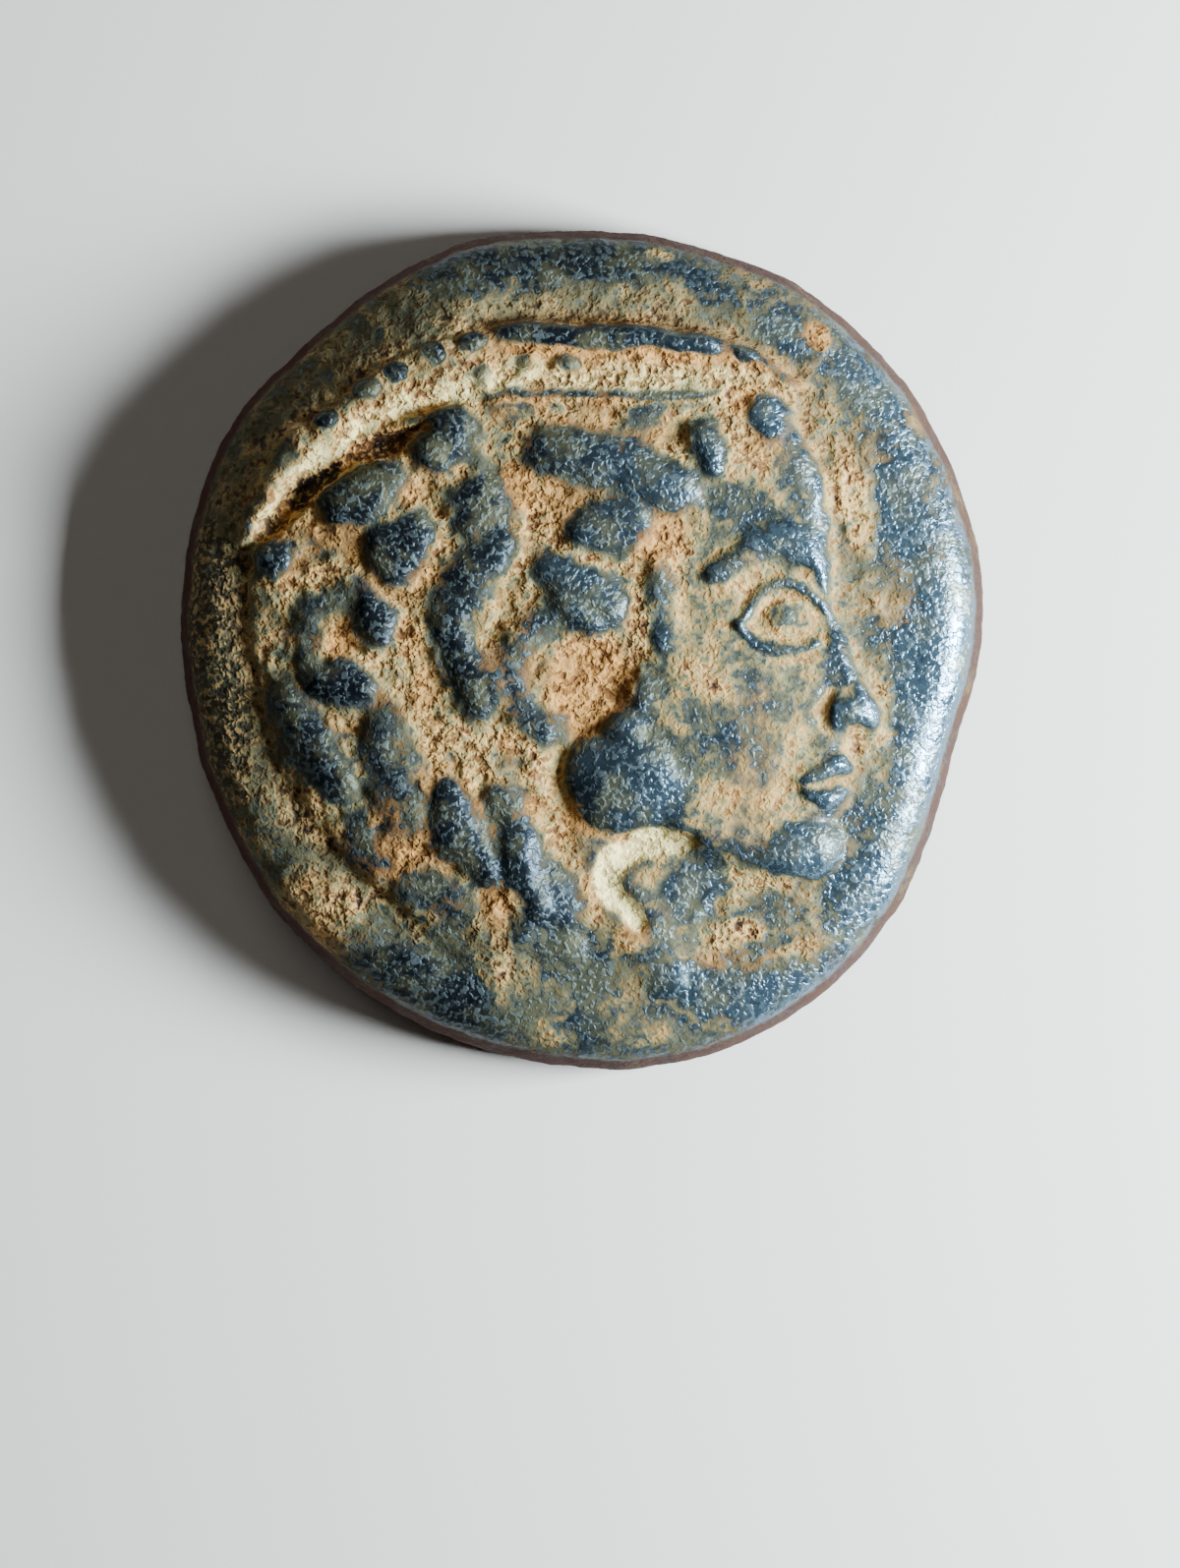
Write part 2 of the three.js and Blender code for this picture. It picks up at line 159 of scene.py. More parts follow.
BEADS = [
    (-46.2, 42.4), (-38.4, 47.3), (-33, 50.1), (-26.3, 53.9), (-19.1, 56.1), (-17.5, 49.6), (-9.6, 51.2),
    (-2.7, 52), (29.3, 53.8),
]
BEAD_HALF_SIZES = (2.8, 2.3)

# Forms of the face and neck: rise, then either the points, width and end share of a ridge, or the middle,
# half sizes and turn in degrees of a mound
FACE_RIDGES = [
    (0.2, [(47, 14.6), (41, 18.4), (33, 18.4), (24, 13.6)], 8.5, 0.5),
    (0.22, [(43.8, 8.2), (39.2, 11.4), (33.6, 10.4), (28.2, 5.4)], 3.6, 0.6),
    (0.22, [(42.8, 2.2), (37.6, 0.4), (32.4, 1.6), (28.2, 5)], 3.4, 0.6),
    (0.15, [(46.4, 12), (48.8, 3), (52, -6.5)], 8.5, 0.8),
    (-0.11, [(44.9, -6.5), (42.8, -11), (43.8, -15)], 3.2, 0.6),
    (-0.05, [(42.6, -14), (38.4, -19), (36.2, -24)], 4.5, 0.6),
    (0.14, [(50, -20.8), (46, -20.5), (42.4, -21.8), (39.6, -23.2)], 4.2, 0.4),
    (0.15, [(49.2, -26.2), (45.8, -26.6), (42.2, -25.6), (39.8, -24.4)], 4.4, 0.4),
    (-0.12, [(49.4, -23.5), (44.6, -23.2), (40.6, -23.5), (38.6, -23.9)], 2, 0.6),
    (-0.08, [(46.6, -30.7), (42, -31.2), (37.6, -29.6)], 3.8, 0.6),
    (0.07, [(38, -37.5), (28, -35.5), (19, -30.5), (12.5, -23)], 11, 0.7),
    (0.1, [(2, -33), (10, -48), (16, -60)], 12, 0.6),
]
FACE_MOUNDS = [
    (0.15, (25, -9), (18, 19), 0),
    (0.09, (31, 28), (18, 15), 0),
    (-0.26, (37, 6.4), (10.8, 8), -6),
    (0.32, (37.2, 6), (5.6, 4), 0),
    (-0.1, (39.4, 6.2), (1.6, 1.6), 0),
    (0.1, (51.4, -10), (4.6, 4.4), 0),
    (0.14, (46.9, -11.4), (4.2, 3.6), 0),
    (-0.13, (50, -13.4), (2.4, 1.4), 15),
    (0.11, (41, -36.2), (9, 7), 0),
]
NECK_DROP = 0.22  # how much lower than the face the neck lies

# The ear, the drop under it with its hook, and the gouge in the neck: the line of a ridge, or the middle,
# half sizes, turn and firmness of a mound, and rises in millimetres
EAR_RIM = [(2.5, 3.6), (-4, 6.4), (-11, 2.5), (-12.5, -5.5), (-9, -12.5), (-3, -15)]
EAR_RIM_WIDTH, EAR_RIM_RISE = 9, 0.2
EAR_HOLLOW, EAR_HOLLOW_DEPTH = ((2.6, -6), (8.5, 11), 0, 0.8), 0.22
EAR_FRONT, EAR_FRONT_RISE = ((10.8, -8), (3.6, 4.4)), 0.12
DROP = ((9, -23.2), (12.5, 10), 0, 0.7)
DROP_HOOK, DROP_HOOK_SHARE = ((9.6, -14.6), (5.2, 5.6), 0, 0.7), 0.8
DROP_FOOT, DROP_RISE = 0.28, 0.38
NECK_GOUGE = [(18.5, -34), (9, -36), (5, -42), (11.5, -48.8)]
GOUGE_WIDTH, GOUGE_DEPTH = 8, 0.2

# Patches where the field keeps its patina (above 0) or holds earth (below 0): amount, middle, half sizes and
# turn in degrees
PATCHES = [
    (-0.1, (-46, 57), (18, 9), 40),
    (0.35, (-15.4, 71.2), (11, 4.5), 5), (0.4, (5.3, 70), (15, 4.5), -3), (-0.5, (13.4, 71.7), (5, 1.7), -5),
    (0.4, (23.3, 65.4), (8, 3.5), -25), (-0.4, (30.5, 69), (5, 3), -35), (-0.08, (-6, 63.5), (34, 3.4), 2),
    (0.4, (37.6, 58.2), (5, 6.5), 35), (-0.5, (43, 57.3), (4, 3.2), -30), (0.4, (52, 47.4), (4, 9), 40),
    (-0.6, (49.5, 27), (3.4, 13), 12), (-0.3, (62, 42), (4, 6), 30), (0.5, (58.3, 25.9), (5, 12), 8),
    (-0.3, (60, 5), (3.5, 3), 0), (0.55, (66, -6.5), (11, 28), 0), (0.5, (49, -37.5), (13, 13), -35),
    (-0.45, (39, -55), (11, 3), 22), (0.3, (19.7, -60.4), (9, 5), 5), (0.35, (1.7, -56.8), (5, 8), 0),
    (-0.4, (10.7, -69.4), (9, 3.8), 4), (0.3, (0, -67.6), (3.5, 5.5), 0), (-0.35, (-9, -69.4), (6, 4), 0),
    (0.5, (-27, -60.4), (14, 8), -28), (-0.45, (-46.8, -47.8), (9, 12), 40), (0.3, (-47, 50), (5, 4), 35),
    (0.45, (20.5, -42), (7.5, 7.5), -20), (0.35, (27, 25), (9, 7), 10), (0.35, (-15, 69), (20, 7), 8),
    (-0.3, (-14, -55), (3.5, 8), 0), (-0.4, (9.7, -51), (5, 4), 0), (-0.4, (27, -51), (7, 3.5), 12),
    (0.3, (34, -62), (10, 6), 25), (0.25, (-38, -52), (10, 7), -35), (0.3, (24, -16), (7, 9), 10),
    (0.3, (36, 21), (12, 5), 6), (0.35, (34, -46.5), (9, 4.5), 0),
]
SHADED_LEFT_SIDE = ((-77, -10), (20, 52))  # painted shade: the far left, painted nearly black where the shoulder turns away from the light

# Places of orange clay: middle and half sizes
CLAY = [
    ((1.5, -7), (9.5, 11.5)), ((-35, -37), (8, 5)), ((-16, -46), (4, 7)), ((-42.5, 2.5), (3.5, 5)),
    ((43, 57.3), (4, 3.5)), ((2, -30), (6, 4)), ((-12, 30), (4, 6)), ((13, 20), (5, 4)), ((12, -50), (5, 3)),
    ((28, -56), (8, 3)),
]


def smooth_step(low, high, value):
    """A share that rises smoothly from 0 at one level to 1 at another, which may be the lower one."""
    share = np.clip((value - low) / (high - low), 0, 1)
    return share * share * (3 - 2 * share)


def smooth_max(a, b, reach):
    """The larger of two heights, with the corner between them rounded over a reach."""
    share = np.clip(0.5 + (a - b) / (2 * reach), 0, 1)
    return b + (a - b) * share + reach * share * (1 - share)


def smooth_line(points, closed=False, steps=6):
    """A smooth line through points, as short straight stretches."""
    p = np.array(points, float)
    if len(p) == 2:
        return p
    ring = np.vstack([p[-1:], p, p[:2]]) if closed else np.vstack([2 * p[0] - p[1], p, 2 * p[-1] - p[-2]])
    t = np.linspace(0, 1, steps, endpoint=False)[:, None]
    spans = []
    for a, b, c, d in zip(ring[:-3], ring[1:-2], ring[2:-1], ring[3:]):
        spans.append(b + 0.5 * t * (c - a + t * (2 * a - 5 * b + 4 * c - d + t * (3 * (b - c) + d - a))))
    spans.append(p[:1] if closed else p[-1:])
    return np.vstack(spans)


def nearest(x, y, line):
    """Distance from each place to a line, and the share of the way along the line at its nearest point."""
    best = np.full(x.shape, np.inf)
    share = np.zeros(x.shape)
    steps = np.diff(line, axis=0)
    for i, ((ax, ay), (dx, dy)) in enumerate(zip(line[:-1], steps)):
        along = np.clip(((x - ax) * dx + (y - ay) * dy) / max(dx * dx + dy * dy, 1e-9), 0, 1)
        distance = np.hypot(x - ax - along * dx, y - ay - along * dy)
        closer = distance < best
        best = np.where(closer, distance, best)
        share = np.where(closer, (i + along) / len(steps), share)
    return best, share


def hills(x, y, size, seed, octaves=3):
    """Smooth random hills from about -1 to 1, as wide as size, with finer ones on them."""
    random = np.random.default_rng(seed)
    total = np.zeros(x.shape)
    for octave in range(octaves):
        angle = random.uniform(0, 2 * np.pi, (64, 64))
        offset = random.uniform(0, 64, 2)
        u, v = x / size + offset[0], y / size + offset[1]
        i, j = np.floor(u).astype(int), np.floor(v).astype(int)
        u, v = u - i, v - j

        def slope(di, dj):
            turn = angle[(j + dj) % 64, (i + di) % 64]
            return np.cos(turn) * (u - di) + np.sin(turn) * (v - dj)

        across, up = smooth_step(0, 1, u), smooth_step(0, 1, v)
        near = slope(0, 0) + across * (slope(1, 0) - slope(0, 0))
        far = slope(0, 1) + across * (slope(1, 1) - slope(0, 1))
        total += (near + up * (far - near)) / 2**octave
        size /= 2
    return 1.5 * total


def blur(layer, cells):
    """The local mean of a layer, over a number of cells each way."""
    for _ in range(4):
        run = np.pad(layer, ((cells + 1, cells), (0, 0)), mode="edge").cumsum(axis=0)
        layer = ((run[2 * cells + 1 :] - run[: -2 * cells - 1]) / (2 * cells + 1)).T
    return layer


class Die:
    """A square of die units, on which forms are drawn with the slight wander of a cutter's hand."""

    def __init__(self, reach=80, cells=480, wander=1.2, seed=3):
        axis = np.linspace(-reach, reach, cells + 1)
        self.reach = reach
        self.step = axis[1] - axis[0]
        self.x, self.y = np.meshgrid(axis, axis)
        self.hand_x = self.x + wander * hills(self.x, self.y, 11, seed, 2)
        self.hand_y = self.y + wander * hills(self.x, self.y, 11, seed + 1, 2)

    def window(self, points, margin):
        """The cells that hold the points and a margin round them."""
        low = (np.min(points, axis=0) - margin + self.reach) / self.step
        high = (np.max(points, axis=0) + margin + self.reach) / self.step
        first = np.clip(low.astype(int), 0, len(self.x))
        last = np.clip(high.astype(int) + 2, 0, len(self.x))
        return slice(first[1], last[1]), slice(first[0], last[0])

    def ridge(self, points, width, ends=0.5, firmness=1.0):
        """A rounded ridge along a line, 1 at its crest. Its ends narrow to a share of its width."""
        layer = np.zeros(self.x.shape)
        line = smooth_line(points)
        part = self.window(line, width)
        distance, share = nearest(self.hand_x[part], self.hand_y[part], line)
        half = width / 2 * (ends + (1 - ends) * np.clip(np.sin(np.pi * share), 0, 1) ** 0.6)
        layer[part] = np.clip(1 - (distance / half) ** 2, 0, 1) ** firmness
        return layer

    def mound(self, middle, half_sizes, turn=0, firmness=1.0):
        """A rounded mound, 1 at its top. A firmness under 1 makes its sides steeper."""
        layer = np.zeros(self.x.shape)
        part = self.window([middle], max(half_sizes) + 2)
        dx, dy = self.hand_x[part] - middle[0], self.hand_y[part] - middle[1]
        c, s = math.cos(math.radians(turn)), math.sin(math.radians(turn))
        u, v = (dx * c + dy * s) / half_sizes[0], (dy * c - dx * s) / half_sizes[1]
        layer[part] = np.clip(1 - u**2 - v**2, 0, 1) ** firmness
        return layer

    def depth(self, outline):
        """Depth of each place inside a closed outline, negative outside it."""
        line = np.vstack([outline, outline[:1]])
        x, y = self.hand_x, self.hand_y
        inside = np.zeros(x.shape, bool)
        for (ax, ay), (bx, by) in zip(line[:-1], line[1:]):
            if ay != by:
                inside ^= ((ay <= y) != (by <= y)) & (x < ax + (y - ay) / (by - ay) * (bx - ax))
        distance, _ = nearest(x, y, line)
        return np.where(inside, distance, -distance)

    def sample(self, layer, x, y):
        """The layer's values at places in die units."""
        u = np.clip((x + self.reach) / self.step, 0, len(layer) - 1.001)
        v = np.clip((y + self.reach) / self.step, 0, len(layer) - 1.001)
        i, j = u.astype(int), v.astype(int)
        u, v = u - i, v - j
        low = layer[j, i] * (1 - u) + layer[j, i + 1] * u
        high = layer[j + 1, i] * (1 - u) + layer[j + 1, i + 1] * u
        return low * (1 - v) + high * v


def length(name, description, millimetres):
    """A size that the sidebar shows in the scene's own unit."""
    return FloatProperty(
        name=name, description=description, default=millimetres * MM, unit="LENGTH", precision=5
    )


def colour(name, description, code):
    """A colour given by its six hexadecimal digits, kept as linear light."""
    parts = [int(code[i : i + 2], 16) / 255 for i in (0, 2, 4)]
    linear = [c / 12.92 if c <= 0.04045 else ((c + 0.055) / 1.055) ** 2.4 for c in parts]
    return FloatVectorProperty(
        name=name, description=description, default=(*linear, 1), size=4, min=0, max=1, subtype="COLOR"
    )


class FlanSizes(bpy.types.PropertyGroup):
    """Sizes of the flan, the blank that the dies strike"""

    diameter: length("Diameter", "Mean width over the widest line", (HIGH.y - LOW.y) / MM * ROUNDNESS)
    field_height: length("Field height", "From the table to the middle of the obverse field", 3.02)
    dome_drop: length("Dome", "Fall of the obverse field from its middle to its shoulder", 0.34)
    shoulder_reach: length("Shoulder", "Width of the rounding round the obverse", 1.25)
    shoulder_drop: length("Shoulder drop", "Fall from the field to the top of the edge", 0.73)
    widest_height: length("Widest line", "Height of the widest line of the edge", 0.8)
    bevel: length("Bevel", "How far the edge leans out down to its widest line", 0.26)
    heel_reach: length("Heel", "Rounding under the widest line", 0.45)
    border_width: length("Border", "Worn flat border of the reverse", 0.95)
    edge_wander: length("Edge wander", "How unevenly the hammer left the edge", 0.05)


class ObverseSizes(bpy.types.PropertyGroup):
    """Sizes of the obverse die"""

    head_height: length("Head height", "From the crown, at the band, to the chin", 12.8)
    worn_top: length("Worn top", "Height that wear has left of the carving", 0.7)
    head_rise: length("Head", "Rise of the face above the field", 0.4)
    hair_rise: length("Hair", "Rise of the hair's ground above the field", 0.36)
    lock_rise: length("Locks", "Rise of the locks above the hair's ground", 0.3)
    band_rise: length("Band", "Rise of the band above the field", 0.6)
    bead_rise: length("Beads", "Rise of the beads above the band", 0.15)
    crust: length("Crust", "Thickness of the earth left in the hollows", 0.06)


class ReverseSizes(bpy.types.PropertyGroup):
    """Sizes of the reverse die"""

    rays: IntProperty(name="Rays", description="Number of the star's rays", default=8, min=3)
    ray_length: length("Ray length", "From the middle of the flan to a ray's tip", 5.9)
    ray_width: length("Ray width", "At the middle of the star", 2.6)
    boss_radius: length("Boss radius", "Radius of the boss at the middle of the star", 1.5)
    pellet_radius: length("Pellet radius", "Radius of a pellet between two rays", 0.75)
    pellet_orbit: length("Pellet orbit", "From the middle of the flan to a pellet", 4.6)
    dish: length("Dish", "Height of the reverse field above the table", 0.26)
    dish_slope: length("Dish slope", "Width of the slope from the border to the field", 0.8)
    star_wear: length("Star wear", "Height that wear has cut off the star", 0.16)


class PatinaColours(bpy.types.PropertyGroup):
    """Colours of the patina and of the earth on it"""

    # The darkest earth colour. The groove under the band and the far left are pushed down to it as painted
    # shade.
    hollow_earth_and_shade: colour("Deep hollow", "Earth at the bottom of the hollows", "22150d")
    earth: colour("Earth", "Earth in the hollows", "94693c")
    clay: colour("Clay", "Orange earth in some of the hollows", "9a6629")
    dust: colour("Dust", "Pale earth on the slopes", "ab8e56")
    verdigris: colour("Verdigris", "Thin green-grey film where earth meets patina", "66664a")
    # Painted sheen: a lighter blue painted over the patina on the right, the side that faces the key light.
    sheen: colour("Sheen", "Bluer patina over the right of the coin", "5b7688")
    tarnish: colour("Tarnish", "Dull olive film over the field", "474733")
    slate: colour("Slate", "Patina beside the worn tops", "2f3630")
    patina: colour("Patina", "Dark blue patina of the worn tops", "242c32")
    polish: colour("Polish", "Patina on the highest places", "191f26")
    # Partly painted highlight: pale specks that also stand in for the glints of tiny facets on the patina.
    speck_and_glint: colour("Specks", "Pale specks in the patina", "6a7c80")
    # Partly painted highlight: the pale deposit is painted bright on the walls that face the key light.
    lime_and_highlight: colour("Lime", "Pale lime deposit", "e2d796")
    rust: colour("Edge", "Red-brown metal of the edge", "3c1b10")


class StageLook(bpy.types.PropertyGroup):
    """Floor, lights and camera"""

    floor: colour("Floor", "Colour of the floor", "dedbd6")
    key_power: FloatProperty(name="Key", description="Power of the key light", default=0.42, unit="POWER")
    fill_power: FloatProperty(name="Fill", description="Power of the fill light", default=1.25, unit="POWER")
    sky: FloatProperty(name="Sky", description="Strength of the light from all round", default=0.27)
    lens: FloatProperty(name="Lens", description="Focal length in millimetres", default=180)
    sensor: FloatProperty(name="Sensor", description="Long side of the sensor in millimetres", default=36)


def vertex_places(mesh):
    """The x, y and z of a mesh's vertices."""
    places = np.empty(len(mesh.vertices) * 3)
    mesh.vertices.foreach_get("co", places)
    return places.reshape(-1, 3).T.copy()


def edge_ends(mesh):
    """The two vertices that each edge of a mesh joins."""
    ends = np.empty(len(mesh.edges) * 2, int)
    mesh.edges.foreach_get("vertices", ends)
    return ends.reshape(-1, 2).T


def rim_offset(angle):
    """How far the widest line stands outside the mean circle in each direction, in metres."""
    offset = np.zeros(angle.shape)
    for at, rise, spread in OUTLINE:
        away = (np.degrees(angle) - at + 180) % 360 - 180
        offset += rise * np.exp(-((away / spread) ** 2) / 2)
    return offset * MM


def select_only(piece, edges):
    """Leaves edit mode on the piece with only these edges selected."""
    bpy.ops.object.mode_set(mode="EDIT")
    bpy.ops.mesh.select_mode(type="EDGE")
    bpy.ops.mesh.select_all(action="DESELECT")
    bpy.ops.object.mode_set(mode="OBJECT")
    piece.data.edges.foreach_set("select", edges)
    bpy.ops.object.mode_set(mode="EDIT")


def edge_rings(flan):
    """Inset from the widest line and height of each ring, from the obverse's shoulder to the reverse."""
    field_edge = flan.field_height - flan.dome_drop
    wall_top = field_edge - flan.shoulder_drop
    rings = []
    for turn in np.linspace(0, math.pi / 2, SHOULDER_ROWS + 1)[1:]:
        inset = flan.bevel + flan.shoulder_reach * (1 - math.sin(turn))
        rings.append((inset, field_edge - flan.shoulder_drop * (1 - math.cos(turn))))
    for share in np.linspace(0, 1, EDGE_ROWS + 1)[1:]:
        rings.append((flan.bevel * (1 - share) ** 1.4, wall_top + (flan.widest_height - wall_top) * share))
    for turn in np.linspace(0, math.pi / 2, HEEL_ROWS + 1)[1:]:
        rings.append((flan.heel_reach * (1 - math.cos(turn)), flan.widest_height * (1 - math.sin(turn))))
    rings.append((flan.heel_reach + flan.border_width, 0))
    return rings


def coin_blank(flan):
    """The round flan as cast: a filled circle, drawn down over the edge and filled again below."""
    radius = flan.diameter / 2
    height = flan.field_height - flan.dome_drop
    ring_radius = radius - flan.bevel - flan.shoulder_reach
    bpy.ops.object.select_all(action="DESELECT")
    bpy.ops.mesh.primitive_circle_add(vertices=SIDES, radius=ring_radius, location=(0, 0, height))
    blank = bpy.context.object
    bpy.ops.object.transform_apply(location=True, rotation=False, scale=False)
    bpy.ops.object.mode_set(mode="EDIT")
    bpy.ops.mesh.select_all(action="SELECT")
    bpy.ops.mesh.fill_grid(span=SIDES // 4)
    bpy.ops.mesh.select_mode(type="EDGE")
    for inset, ring_height in edge_rings(flan):
        bpy.ops.mesh.select_all(action="DESELECT")
        bpy.ops.mesh.select_non_manifold(use_wire=False, use_multi_face=False, use_non_contiguous=False)
        drop = (0, 0, ring_height - height)
        bpy.ops.mesh.extrude_edges_move(TRANSFORM_OT_translate={"value": drop})
        grow = (radius - inset) / ring_radius
        bpy.ops.transform.resize(value=(grow, grow, 1), center_override=(0, 0, ring_height))
        ring_radius, height = radius - inset, ring_height
    bpy.ops.mesh.fill_grid(span=SIDES // 4)
    bpy.ops.object.mode_set(mode="OBJECT")
    return blank


def refine(blank, flan):
    """Cuts the obverse and edge finely and the reverse more coarsely, and closes the step between them."""
    mesh = blank.data
    x, y, z = vertex_places(mesh)
    a, b = edge_ends(mesh)
    radius = np.hypot(x, y)
    top = flan.field_height - flan.dome_drop - TOUCH
    reverse_radius = flan.diameter / 2 - flan.heel_reach - flan.border_width + TOUCH
    on_reverse = (z < TOUCH) & (radius < reverse_radius)
    around = (abs(radius[a] - radius[b]) < TOUCH) & (abs(z[a] - z[b]) < TOUCH)
    fine = (z[a] > top) & (z[b] > top) | around & ~(on_reverse[a] & on_reverse[b])
    select_only(blank, fine)
    bpy.ops.mesh.subdivide(number_cuts=OBVERSE_CUTS)
    bpy.ops.object.mode_set(mode="OBJECT")

    x, y, z = vertex_places(mesh)
    a, b = edge_ends(mesh)
    on_reverse = (z < TOUCH) & (np.hypot(x, y) < reverse_radius)
    select_only(blank, on_reverse[a] & on_reverse[b])
    bpy.ops.mesh.subdivide(number_cuts=REVERSE_CUTS)
    bpy.ops.mesh.select_mode(type="FACE")
    bpy.ops.mesh.select_face_by_sides(number=4, type="GREATER", extend=False)
    bpy.ops.mesh.quads_convert_to_tris()
    bpy.ops.mesh.select_all(action="SELECT")
    bpy.ops.mesh.normals_make_consistent(inside=False)
    bpy.ops.object.mode_set(mode="OBJECT")


def cut_face(die, height, on_head):
    """Raises the features out of the head's mass."""
    for rise, points, width, ends in FACE_RIDGES:
        height += rise * on_head * die.ridge(points, width, ends)
    for rise, middle, half_sizes, turn in FACE_MOUNDS:
        height += rise * on_head * die.mound(middle, half_sizes, turn)


def cut_locks(die, rise):
    """The worn locks, each a rounded mass with a soft seam to its neighbours."""
    locks = np.zeros(die.x.shape)
    for width, share, points in LOCKS:
        lock = share * rise * die.ridge(points, width * 1.25, 0.75, 1.2)
        locks = np.where(lock > 0, smooth_max(locks, lock, 0.06), locks)
    return locks * (1 + 0.22 * hills(die.x, die.y, 9, 71, 2))


def band_places(die):
    """Where each place lies on the band over the crown.

    Gives the depth inside it, the share of the way across it from its inner side, how near the back of the
    head it is, the distance to the band's outer side, and how far the place is on the raised lip.
    """
    inner, outer = smooth_line(BAND_INNER), smooth_line(BAND_OUTER)
    depth = die.depth(np.vstack([outer, inner[::-1]]))
    to_inner, _ = nearest(die.hand_x, die.hand_y, inner)
    to_outer, _ = nearest(die.hand_x, die.hand_y, outer)
    share = to_inner / np.maximum(to_inner + to_outer, 1e-6)
    lip = smooth_step(0.62, 0.78, share) * smooth_step(1, 0.9, share)
    lip *= smooth_step(-17, -10, die.x) * smooth_step(27, 22, die.x) * smooth_step(-1, 1, depth)
    return depth, share, smooth_step(-12, -24, die.x), to_outer, lip


def cut_band(die, height, band, band_rise, bead_rise):
    """The band over the crown, which slopes down to the hair, with its beads and the groove under it."""
    depth, share, back, to_outer, lip = band
    profile = np.interp(share, ACROSS_BAND, BAND_OVER_BROW) * (1 - back)
    profile += np.interp(share, ACROSS_BAND, BAND_AT_BACK) * back
    height -= GROOVE_DEPTH * die.ridge(BAND_GROOVE, 5.2)
    bank = BANK_RISE * back * smooth_step(13, 0, to_outer) * (depth < 0) * smooth_step(0.5, 0.6, share)
    height = np.maximum(height, bank)
    on_band = smooth_step(-0.8, 0.8, depth)
    height = height * (1 - on_band) + band_rise / BAND_DRAWN_RISE * (profile + LIP_RISE * lip) * on_band
    for bead in BEADS:
        height += bead_rise * die.mound(bead, BEAD_HALF_SIZES)
    return height


def obverse_relief(die, sizes, band):
    """Height of the worn carving above the field in millimetres.

    Also gives the depth inside the head, the raised tops and where the ground is crumbly.
    """
    head = die.depth(smooth_line(PROFILE + NECK + CROWN_AND_NAPE, closed=True))
    hair = die.depth(smooth_line(HAIRLINE + CROWN_AND_NAPE, closed=True))
    neck = die.depth(np.vstack([smooth_line(JAW), BEHIND_NECK]))
    on_head = smooth_step(-1, 3, head)
    on_hair = smooth_step(-2.5, 3.5, hair)
    edge = np.clip(head / (5.5 + 8.5 * on_hair + 8 * smooth_step(-30, -55, die.x)), 0, 1)
    rise = sizes.head_rise + (sizes.hair_rise - sizes.head_rise) * on_hair
    height = rise / MM * np.sqrt(1 - (1 - edge) ** 2) + 0.05 * on_hair * hills(die.x, die.y, 12, 72, 2)
    height -= NECK_DROP * smooth_step(-2.5, 2, neck) * on_head
    height *= smooth_step(-66, -46, die.y)
    cut_face(die, height, on_head)
    locks = cut_locks(die, sizes.lock_rise / MM)
    height += locks
    ear_rim = die.ridge(EAR_RIM, EAR_RIM_WIDTH, 0.6)
    height += EAR_RIM_RISE * ear_rim - EAR_HOLLOW_DEPTH * die.mound(*EAR_HOLLOW)
    height += EAR_FRONT_RISE * die.mound(*EAR_FRONT)
    drop = np.maximum(die.mound(*DROP), DROP_HOOK_SHARE * die.mound(*DROP_HOOK))
    height = np.where(drop > 0, np.maximum(height, DROP_FOOT + DROP_RISE * drop), height)
    height -= GOUGE_DEPTH * die.ridge(NECK_GOUGE, GOUGE_WIDTH, 0.5)
    height = cut_band(die, height, band, sizes.band_rise / MM, sizes.bead_rise / MM)
    worn = -smooth_max(-height, -sizes.worn_top / MM, 0.12)
    tops = np.maximum(locks * MM / sizes.lock_rise, smooth_step(0, 0.5, drop))
    tops = np.maximum(tops, 0.5 * ear_rim)
    crumbly = np.maximum(on_hair, 1 - on_head)
    return blur(worn, 1), head, tops, crumbly


